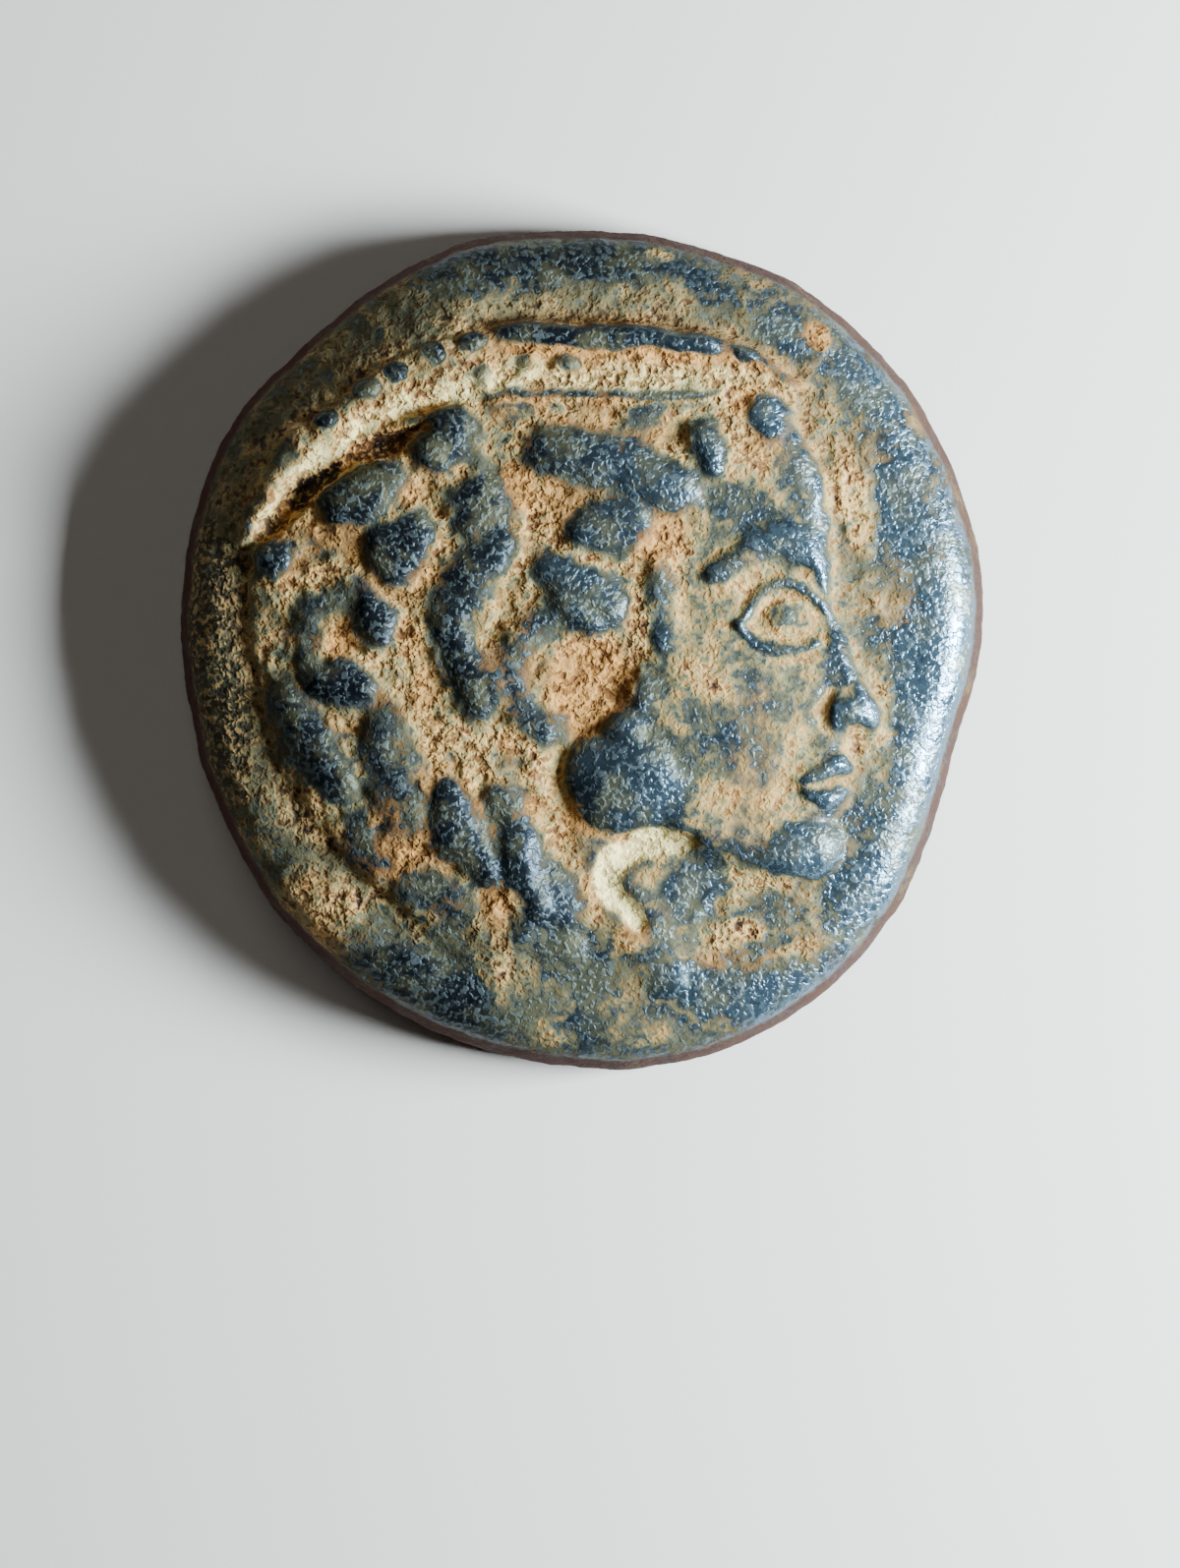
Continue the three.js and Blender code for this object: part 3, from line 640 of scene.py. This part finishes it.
def obverse_finish(die, relief, head, tops, crumbly, band, crust):
    """How worn each place is, with painted shade at the far left and in the groove under the band, where the
    pale lime deposit lies, partly a painted highlight on the walls that face the key light, where tarnish and
    clay lie, and the height of the crust of earth.
    """
    x, y = die.x, die.y
    depth, share, back, to_outer, lip = band
    on_band = smooth_step(-4, 1, depth)
    tarnish = np.maximum(smooth_step(5, -4, head), smooth_step(-42, -56, y)) * smooth_step(2, -2, depth)
    wear = 0.36 + 0.1 * tarnish + 0.08 * smooth_step(0.3, 0.9, tops) + 0.4 * blur(tops, 4)
    wear += np.maximum((relief - blur(relief, 20)) / 0.6, -0.14) + (relief - blur(relief, 5)) / 1.1
    wear += (1 - crumbly) * (relief - blur(relief, 4)) / 0.35
    wear += 0.2 * hills(x, y, 9, 21, 4) + 0.14 * hills(x, y, 3.2, 22, 3)
    wear += 0.14 * smooth_step(30, 70, x) + 0.1 * smooth_step(-45, -62, y)
    wear += 0.16 * smooth_step(60, 70, np.hypot(x, y)) * smooth_step(-60, -10, x)
    for amount, middle, half_sizes, turn in PATCHES:
        patch = smooth_step(0, 0.8, die.mound(middle, half_sizes, turn))
        wear += 0.8 * amount * patch
        tarnish *= 1 - 1.6 * max(0, -amount) * patch
    # Pale deposit on the band's slope and in the neck's gouge, laid on the walls that face the key light:
    # partly a real deposit, partly a painted highlight.
    slope = smooth_step(0.08, 0.16, share) * smooth_step(0.56, 0.3, share) * (1 - back)
    slope = smooth_step(0.4, 0.27, share) * back + slope * smooth_step(36, 24, x)
    lime_and_highlight = 0.42 * slope * smooth_step(-0.5, 0.8, depth) * smooth_step(-0.8, 0.3, hills(x, y, 4, 61, 3))
    gouge = die.ridge(NECK_GOUGE, GOUGE_WIDTH, 0.5) + 0.45 * hills(x, y, 5, 62, 3)
    round_gouge = smooth_step(0, 0.15, die.ridge(NECK_GOUGE, GOUGE_WIDTH + 1.5, 0.5))
    lime_and_highlight = np.maximum(lime_and_highlight, smooth_step(0.2, 0.7, gouge) * round_gouge)
    wear -= 0.25 * lime_and_highlight
    seam = smooth_step(0, 0.05, share) * smooth_step(0.22, 0.14, share)
    seam = seam * smooth_step(-34, -14, x) * smooth_step(30, 20, x)
    beads = sum(smooth_step(0, 0.6, die.mound(bead, BEAD_HALF_SIZES)) for bead in BEADS)
    wear += on_band * (0.36 * lip + 0.6 * seam + 0.45 * beads - (0.33 + 0.03 * back) * (1 - lip))
    wear -= 0.3 * back * smooth_step(9, 3, to_outer) * (depth < 0) * smooth_step(0.5, 0.6, share)
    tarnish = np.maximum(tarnish, 0.5 * on_band * smooth_step(0.35, 0.6, share) * back)
    # Painted shade: the far left is pushed towards the darkest earth colour, near black, where the shoulder
    # turns away from the key light.
    left_shade = smooth_step(0, 0.7, die.mound(*SHADED_LEFT_SIDE))
    # Painted shade: the groove under the band is painted dark as well as cut, for the shadow that falls in
    # it.
    groove = smooth_step(0.15, 0.6, die.ridge(BAND_GROOVE, 4.8))
    wear = np.maximum(wear - 0.6 * left_shade - 0.3 * groove, 0.25 - 0.4 * groove - 0.44 * left_shade)
    earth = 1 - smooth_step(0.4, 0.66, wear)
    crumbly = (0.3 + 0.7 * crumbly) * (1 - 0.4 * tarnish)
    rough = earth * crumbly * (hills(x, y, 2.4, 31, 2) + 0.7 * hills(x, y, 5, 32, 2) + 0.2) * crust / MM
    rough += 0.008 * (1 - earth) * hills(x, y, 3, 33, 2)
    clay = sum(smooth_step(0, 0.6, die.mound(middle, half_sizes)) for middle, half_sizes in CLAY)
    clay = np.maximum(clay, on_band * smooth_step(0.36, 0.6, share) * (1 - back) * (1 - lip))
    return {"wear": wear, "lime_and_highlight": lime_and_highlight, "tarnish": tarnish, "clay": clay, "crumbly": crumbly, "rough": rough}


def strike(blank, flan, obverse, reverse):
    """Presses both dies into the blank, hammers its outline uneven and writes how worn each place is."""
    mesh = blank.data
    x, y, z = vertex_places(mesh)
    radius = np.hypot(x, y)
    angle = np.arctan2(y, x)
    mean = flan.diameter / 2
    shoulder = mean - flan.bevel - flan.shoulder_reach
    ragged = flan.edge_wander * hills(18 * np.cos(angle), 18 * np.sin(angle), 3.5, 41, 4)
    spread = 1 + (rim_offset(angle) + ragged) * np.minimum(1, radius / shoulder) / np.maximum(radius, MM)
    x, y = x * spread, y * spread

    die = Die()
    band = band_places(die)
    relief, head, tops, crumbly = obverse_relief(die, obverse, band)
    finish = obverse_finish(die, relief, head, tops, crumbly, band, obverse.crust)
    unit = obverse.head_height / 100
    share = radius / shoulder
    wall_top = flan.field_height - flan.dome_drop - flan.shoulder_drop
    on_obverse = z > wall_top - TOUCH
    fade = 1 - smooth_step(-0.35, 0.95, (radius - shoulder) / flan.shoulder_reach)
    dome = flan.dome_drop * np.clip(1 - share**2, 0, 1)
    edge_fade = 1 - smooth_step(0.6, 1.0, (radius - shoulder) / flan.shoulder_reach)
    finish = {name: die.sample(layer, x / unit, y / unit) for name, layer in finish.items()}
    struck = die.sample(relief, x / unit, y / unit) * fade + finish["rough"] * edge_fade
    z = np.where(on_obverse, z + dome + struck * MM, z)

    border = mean - flan.heel_reach - flan.border_width
    on_reverse = (z < TOUCH) & (radius <= border + TOUCH)
    sunk, star = reverse_relief(radius, angle, reverse, border)
    z = np.where(on_reverse, sunk, z)

    wear = np.where(on_obverse, finish["wear"], 0.6 + 0.2 * hills(x / MM, y / MM, 1.5, 51, 4))
    wear = np.where(on_reverse, 0.3 + 0.6 * star + 0.15 * hills(x / MM, y / MM, 1.2, 52, 4), wear)
    side = smooth_step(-0.3, 0.3, (radius - mean + flan.bevel) / flan.bevel)
    mesh.vertices.foreach_set("co", np.column_stack([x, y, z]).ravel())
    # Painted sheen: this mask grows towards the right, the side that faces the key light. It paints the
    # patina there a lighter blue, thins the tarnish and edge colours there and makes the patina smoother.
    toward_sheen = x / MM - 0.6 * np.maximum(y / MM - 3.5, 0) + 1.5 * hills(x / MM, y / MM, 2.5, 81, 2)
    blue = smooth_step(-3, 6.5, toward_sheen)
    masks = {
        "wear": wear,
        "lime_and_highlight": np.where(on_obverse, finish["lime_and_highlight"], 0),
        "tarnish": np.where(on_obverse, finish["tarnish"], 1) * (1 - 0.6 * blue),
        "clay": np.where(on_obverse, finish["clay"], 0),
        "crumbly": np.where(on_obverse, finish["crumbly"], 0.6),
        "side": np.where(on_reverse, 0, side * (1 - 0.2 * blue)),
        "blue": blue * (1 - side),
    }
    for name, values in masks.items():
        mesh.attributes.new(name, "FLOAT", "POINT").data.foreach_set("value", values.astype(np.float32))
    group = blank.vertex_groups.new(name="edge")
    edge = ~on_reverse & (z < wall_top + flan.shoulder_drop / 2) & (z > 0.02 * MM)
    group.add(np.nonzero(edge)[0].tolist(), 1.0, "REPLACE")
    mesh.update()


def reverse_relief(radius, angle, sizes, border):
    """Height of the reverse above the table in metres, and how much of the star each place is."""
    turn = 2 * math.pi / sizes.rays
    off_ray = abs(angle - np.round(angle / turn) * turn)
    half_width = sizes.ray_width / 2 * np.clip(1 - radius / sizes.ray_length, 1e-4, 1)
    ray = np.clip(1 - radius * np.sin(off_ray) / half_width, 0, 1) * (radius < sizes.ray_length)
    boss = np.clip(1 - (radius / sizes.boss_radius) ** 4, 0, 1)
    off_pellet = off_ray - turn / 2
    to_pellet = np.hypot(radius * np.cos(off_pellet) - sizes.pellet_orbit, radius * np.sin(off_pellet))
    pellet = np.clip(1 - to_pellet / sizes.pellet_radius, 0, 1)
    star = np.maximum(np.maximum(ray, boss), pellet)
    dish = sizes.dish * (1 - smooth_step(border - sizes.dish_slope, border, radius))
    return np.maximum(0, dish - (sizes.dish + sizes.star_wear) * star), star


def pit_edge(coin):
    """Small hammer and casting marks on the edge."""
    bpy.ops.object.select_all(action="DESELECT")
    coin.select_set(True)
    bpy.context.view_layer.objects.active = coin
    for name, width, depth in EDGE_MARKS:
        texture = bpy.data.textures.new(name, "CLOUDS")
        texture.noise_scale = width * MM
        pits = coin.modifiers.new(name, "DISPLACE")
        pits.texture = texture
        pits.vertex_group = "edge"
        pits.strength = depth * MM
        bpy.ops.object.modifier_apply(modifier=name)
    coin.vertex_groups.clear()


def fill(tree, socket, value):
    """Links a socket to another one, or sets its number or colour."""
    if isinstance(value, bpy.types.NodeSocket):
        tree.links.new(value, socket)
    else:
        socket.default_value = value


def masks_of(tree, *names):
    """The masks that the dies wrote on the mesh."""
    for name in names:
        node = tree.nodes.new("ShaderNodeAttribute")
        node.attribute_name = name
        yield node.outputs["Fac"]


def calculate(tree, operation, a, b=None, c=None, clamp=False):
    """A Math node's result from numbers or sockets."""
    node = tree.nodes.new("ShaderNodeMath")
    node.operation = operation
    node.use_clamp = clamp
    for socket, value in zip(node.inputs, (a, b, c)):
        if value is not None:
            fill(tree, socket, value)
    return node.outputs[0]


def blend(tree, factor, below, above, mode="MIX"):
    """One colour over another by a factor."""
    node = tree.nodes.new("ShaderNodeMix")
    node.data_type = "RGBA"
    node.blend_type = mode
    fill(tree, node.inputs[0], factor)
    fill(tree, node.inputs[6], below)
    fill(tree, node.inputs[7], above)
    return node.outputs[2]


def band_pass(tree, value, low, high, to_low=0.0, to_high=1.0):
    """A smooth step of a value between two levels."""
    node = tree.nodes.new("ShaderNodeMapRange")
    node.interpolation_type = "SMOOTHSTEP"
    tree.links.new(value, node.inputs[0])
    for socket, number in zip(node.inputs[1:5], (low, high, to_low, to_high)):
        socket.default_value = number
    return node.outputs[0]


def new_group(name, inputs, outputs):
    """An empty node group with float inputs and outputs, and the sockets inside it."""
    group = bpy.data.node_groups.new(name, "ShaderNodeTree")
    for title, default in inputs:
        socket = group.interface.new_socket(title, in_out="INPUT", socket_type="NodeSocketFloat")
        socket.default_value = default
    for title in outputs:
        group.interface.new_socket(title, in_out="OUTPUT", socket_type="NodeSocketFloat")
    into = group.nodes.new("NodeGroupInput").outputs
    out = group.nodes.new("NodeGroupOutput").inputs
    return group, into, out


def place_group(tree, group, **values):
    """A node group in a tree, with its own values."""
    node = tree.nodes.new("ShaderNodeGroup")
    node.node_tree = group
    for name, value in values.items():
        node.inputs[name.capitalize()].default_value = value
    return node.outputs


def mottle_group():
    """Uneven cloudy patches of one size, from 0 to 1 about 0.5."""
    inputs = [("Size", 1.0), ("Detail", 3.0), ("Roughness", 0.6), ("Twist", 0.0)]
    group, into, out = new_group("mottle", inputs, ["Value"])
    place = group.nodes.new("ShaderNodeTexCoord").outputs["Object"]
    cloud = group.nodes.new("ShaderNodeTexNoise")
    group.links.new(place, cloud.inputs["Vector"])
    group.links.new(into["Detail"], cloud.inputs["Detail"])
    group.links.new(into["Roughness"], cloud.inputs["Roughness"])
    group.links.new(into["Twist"], cloud.inputs["Distortion"])
    group.links.new(calculate(group, "DIVIDE", 1 / MM, into["Size"]), cloud.inputs["Scale"])
    group.links.new(band_pass(group, cloud.outputs["Fac"], 0.28, 0.72), out["Value"])
    return group


def patina_material(colours):
    """Worn bronze: dark blue patina on the tops, film and earth towards the hollows, a red-brown edge, with a
    painted sheen over the right, painted light and shade in the earth's grain, and pale specks that are
    partly painted glints.
    """
    material = bpy.data.materials.new("patinated_bronze")
    material.use_nodes = True
    tree = material.node_tree
    shader = tree.nodes["Principled BSDF"]
    mottle = mottle_group()
    wear, lime_and_highlight, tarnish, clay, crumbly, side, blue = masks_of(
        tree, "wear", "lime_and_highlight", "tarnish", "clay", "crumbly", "side", "blue"
    )
    lumps = place_group(tree, mottle, size=0.24, detail=2.0, roughness=0.5, twist=0.2)["Value"]
    grain = place_group(tree, mottle, size=0.13, detail=1.0, roughness=0.5, twist=0.4)["Value"]
    patches = place_group(tree, mottle, size=0.8, detail=4.0)["Value"]
    warmth = place_group(tree, mottle, size=2.2, detail=3.0)["Value"]
    grit = calculate(tree, "MULTIPLY_ADD", lumps, 0.6, calculate(tree, "MULTIPLY", grain, 0.4))

    unevenness = calculate(tree, "MULTIPLY_ADD", tarnish, 0.24, 0.42)
    level = calculate(tree, "MULTIPLY_ADD", calculate(tree, "SUBTRACT", grit, 0.5), unevenness, wear)
    level = calculate(tree, "MULTIPLY_ADD", patches, 0.22, calculate(tree, "SUBTRACT", level, 0.1))
    ramp = tree.nodes.new("ShaderNodeValToRGB")
    tree.links.new(calculate(tree, "ADD", level, 0, clamp=True), ramp.inputs[0])
    stops = [
        (0.0, colours.hollow_earth_and_shade), (0.08, colours.earth), (0.27, colours.dust), (0.43, colours.verdigris),
        (0.56, colours.slate), (0.75, colours.patina), (1.0, colours.polish),
    ]
    for position, _ in stops[1:-1]:
        ramp.color_ramp.elements.new(position)
    for element, (position, tint) in zip(ramp.color_ramp.elements, stops):
        element.position = position
        element.color = tint

    worn = band_pass(tree, level, 0.45, 0.72)
    earth = calculate(tree, "SUBTRACT", 1, worn)
    # Painted sheen: the worn patina is painted a lighter blue towards the right.
    sheen_share = calculate(tree, "MULTIPLY", blue, band_pass(tree, level, 0.6, 0.86, 0, 0.85))
    ramp_paint = blend(tree, sheen_share, ramp.outputs[0], colours.sheen)
    orange = band_pass(tree, warmth, 0.4, 0.85)
    orange = calculate(tree, "MULTIPLY", orange, band_pass(tree, tarnish, 0, 1, 0.52, 0.1))
    orange = calculate(tree, "MULTIPLY", orange, band_pass(tree, crumbly, 0.3, 1, 0.4, 1))
    orange = calculate(tree, "MAXIMUM", orange, calculate(tree, "MULTIPLY", clay, 0.6))
    ramp_paint = blend(tree, calculate(tree, "MULTIPLY", orange, earth), ramp_paint, colours.clay)
    # Pale deposit, partly a painted highlight on the walls that face the key light.
    lit_lime_share = calculate(tree, "MULTIPLY", lime_and_highlight, band_pass(tree, grit, 0.15, 0.6, 0.45, 1.1), clamp=True)
    paint = blend(tree, lit_lime_share, ramp_paint, colours.lime_and_highlight)
    dulled = calculate(tree, "MULTIPLY", tarnish, band_pass(tree, patches, 0.1, 0.7, 0.5, 0.92))
    paint = blend(tree, calculate(tree, "MULTIPLY", dulled, earth), paint, colours.tarnish)
    # Painted light and shade: the crumbly earth is darkened and lightened by its grain, as if its crumbs were
    # lit from the side, less so under the pale deposit.
    grain_light_and_shade = blend(tree, band_pass(tree, grit, 0.22, 0.75), (0.42, 0.38, 0.33, 1), (1.55, 1.5, 1.45, 1))
    grain_shading = calculate(tree, "MULTIPLY", earth, band_pass(tree, crumbly, 0, 1, 0.45, 0.9))
    grain_shading = calculate(tree, "MULTIPLY", grain_shading, band_pass(tree, lime_and_highlight, 0, 1, 1, 0.45))
    paint = blend(tree, grain_shading, paint, blend(tree, 1.0, paint, grain_light_and_shade, "MULTIPLY"))
    film = calculate(tree, "MULTIPLY", worn, band_pass(tree, patches, 0.35, 0.95, 0, 0.62))
    paint = blend(tree, film, paint, colours.verdigris)
    granules = band_pass(tree, grain, 0.6, 0.9)
    granules = calculate(tree, "MULTIPLY", granules, band_pass(tree, wear, -0.1, 0.12, 0.6, 0))
    paint = blend(tree, granules, paint, colours.dust)
    # Pale specks on the worn patina, partly painted glints of the tiny facets that the bump raises.
    pimples = band_pass(tree, grain, 0.4, 1.0)
    flecks_and_glints = calculate(tree, "MULTIPLY", pimples, band_pass(tree, level, 0.52, 0.85, 0, 0.42))
    paint = blend(tree, flecks_and_glints, paint, colours.speck_and_glint)
    rusty = calculate(tree, "MULTIPLY", side, band_pass(tree, patches, 0.15, 0.6, 0.72, 1))
    paint = blend(tree, rusty, paint, colours.rust)
    tree.links.new(paint, shader.inputs["Base Color"])

    metal = calculate(tree, "SUBTRACT", 1, side)
    metal = calculate(tree, "MULTIPLY", metal, band_pass(tree, level, 0.5, 0.74, 0, 0.78))
    tree.links.new(metal, shader.inputs["Metallic"])
    gloss = band_pass(tree, level, 0.46, 0.78, 0.85, 0.42)
    gloss = calculate(tree, "MULTIPLY_ADD", side, 0.4, calculate(tree, "MULTIPLY_ADD", blue, -0.22, gloss))
    gloss = calculate(tree, "MULTIPLY_ADD", calculate(tree, "SUBTRACT", patches, 0.5), 0.24, gloss)
    gloss = calculate(tree, "MULTIPLY_ADD", grain, 0.22, gloss, clamp=True)
    tree.links.new(gloss, shader.inputs["Roughness"])
    shader.inputs["Specular IOR Level"].default_value = 0.3

    crumbs = calculate(tree, "MULTIPLY", grit, band_pass(tree, level, 0.3, 0.7, 0.075, 0.01))
    crumbs = calculate(tree, "MULTIPLY", crumbs, band_pass(tree, crumbly, 0, 1, 0.4, 1))
    crumbs = calculate(tree, "MULTIPLY_ADD", pimples, 0.01, crumbs)
    bump = tree.nodes.new("ShaderNodeBump")
    bump.inputs["Distance"].default_value = MM
    tree.links.new(crumbs, bump.inputs["Height"])
    tree.links.new(bump.outputs[0], shader.inputs["Normal"])
    return material


def floor_material(tint):
    """Pale matt board."""
    material = bpy.data.materials.new("pale_board")
    material.use_nodes = True
    shader = material.node_tree.nodes["Principled BSDF"]
    shader.inputs["Base Color"].default_value = tint
    shader.inputs["Roughness"].default_value = 0.85
    return material


class OBJECT_OT_coin_strike(bpy.types.Operator):
    """Makes the flan and strikes the worn coin from it"""

    bl_idname = "object.coin_strike"
    bl_label = "Strike coin"

    def execute(self, context):
        scene = context.scene
        coin = coin_blank(scene.coin_flan)
        coin.name = coin.data.name = "bronze_coin"
        refine(coin, scene.coin_flan)
        strike(coin, scene.coin_flan, scene.coin_obverse, scene.coin_reverse)
        pit_edge(coin)
        bpy.ops.object.shade_smooth()
        coin.data.materials.append(patina_material(scene.coin_patina))
        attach(coin, "root")
        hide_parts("coin")
        return {"FINISHED"}


class OBJECT_OT_coin_stage(bpy.types.Operator):
    """Lays a pale floor under the coin, with soft light from the right and a camera looking down"""

    bl_idname = "object.coin_stage"
    bl_label = "Set stage"

    def execute(self, context):
        look = context.scene.coin_stage
        bpy.ops.object.select_all(action="DESELECT")
        bpy.ops.mesh.primitive_plane_add(size=FLOOR_WIDTH, location=(0, 0, LOW.z - FLOOR_GAP))
        floor = context.object
        floor.name = "floor"
        floor.data.materials.append(floor_material(look.floor))
        soft_light("key", KEY_PLACE, KEY_SIZE, look.key_power, KEY_TINT)
        soft_light("fill", FILL_PLACE, FILL_SIZE, look.fill_power, FILL_TINT)
        world = bpy.data.worlds.new("soft_sky")
        world.use_nodes = True
        world.node_tree.nodes["Background"].inputs["Strength"].default_value = look.sky
        context.scene.world = world
        add_camera(look, context.scene.coin_flan.widest_height)
        return {"FINISHED"}


def soft_light(name, place, size, power, tint):
    """A rectangular softbox that faces the coin, its place and size in millimetres."""
    bpy.ops.object.light_add(type="AREA", location=Vector(place) * MM)
    light = bpy.context.object
    light.name = name
    light.rotation_euler = (-Vector(place)).to_track_quat("-Z", "Y").to_euler()
    light.data.shape = "RECTANGLE"
    light.data.size, light.data.size_y = size[0] * MM, size[1] * MM
    light.data.energy = power
    light.data.color = tint


def add_camera(look, widest_height):
    """A camera that looks straight down, with the coin's widest line where it lies in the picture."""
    across = (PICTURE_SIZE[0] / 2 - COIN_IN_PICTURE[0]) * SCREEN
    down = (PICTURE_SIZE[1] / 2 - COIN_IN_PICTURE[1]) * SCREEN
    distance = PICTURE_SIZE[1] * SCREEN * look.lens / look.sensor
    bpy.ops.object.camera_add(location=(across, -down, widest_height + distance), rotation=(0, 0, 0))
    camera = bpy.context.object
    camera.data.lens = look.lens
    camera.data.sensor_width = look.sensor
    camera.data.clip_start = MM
    bpy.context.scene.camera = camera


class VIEW3D_PT_coin(bpy.types.Panel):
    """The coin's sizes and colours, and the buttons that make it"""

    bl_label = "Bronze coin"
    bl_space_type = "VIEW_3D"
    bl_region_type = "UI"
    bl_category = "Coin"

    def draw(self, context):
        for name in SETTINGS:
            box = self.layout.box()
            group = getattr(context.scene, name)
            box.label(text=name.replace("_", " ").capitalize())
            for key in group.bl_rna.properties.keys():
                if key not in {"rna_type", "name"}:
                    box.prop(group, key)
        self.layout.operator(OBJECT_OT_coin_strike.bl_idname)
        self.layout.operator(OBJECT_OT_coin_stage.bl_idname)


SETTINGS = {
    "coin_flan": FlanSizes,
    "coin_obverse": ObverseSizes,
    "coin_reverse": ReverseSizes,
    "coin_patina": PatinaColours,
    "coin_stage": StageLook,
}
CLASSES = (*SETTINGS.values(), OBJECT_OT_coin_strike, OBJECT_OT_coin_stage, VIEW3D_PT_coin)


def register():
    for cls in CLASSES:
        bpy.utils.register_class(cls)
    for name, cls in SETTINGS.items():
        setattr(bpy.types.Scene, name, PointerProperty(type=cls))


def unregister():
    for name in SETTINGS:
        delattr(bpy.types.Scene, name)
    for cls in reversed(CLASSES):
        bpy.utils.unregister_class(cls)


def main():
    register()
    bpy.ops.object.coin_strike()
    bpy.ops.object.coin_stage()


if __name__ == "__main__":
    main()
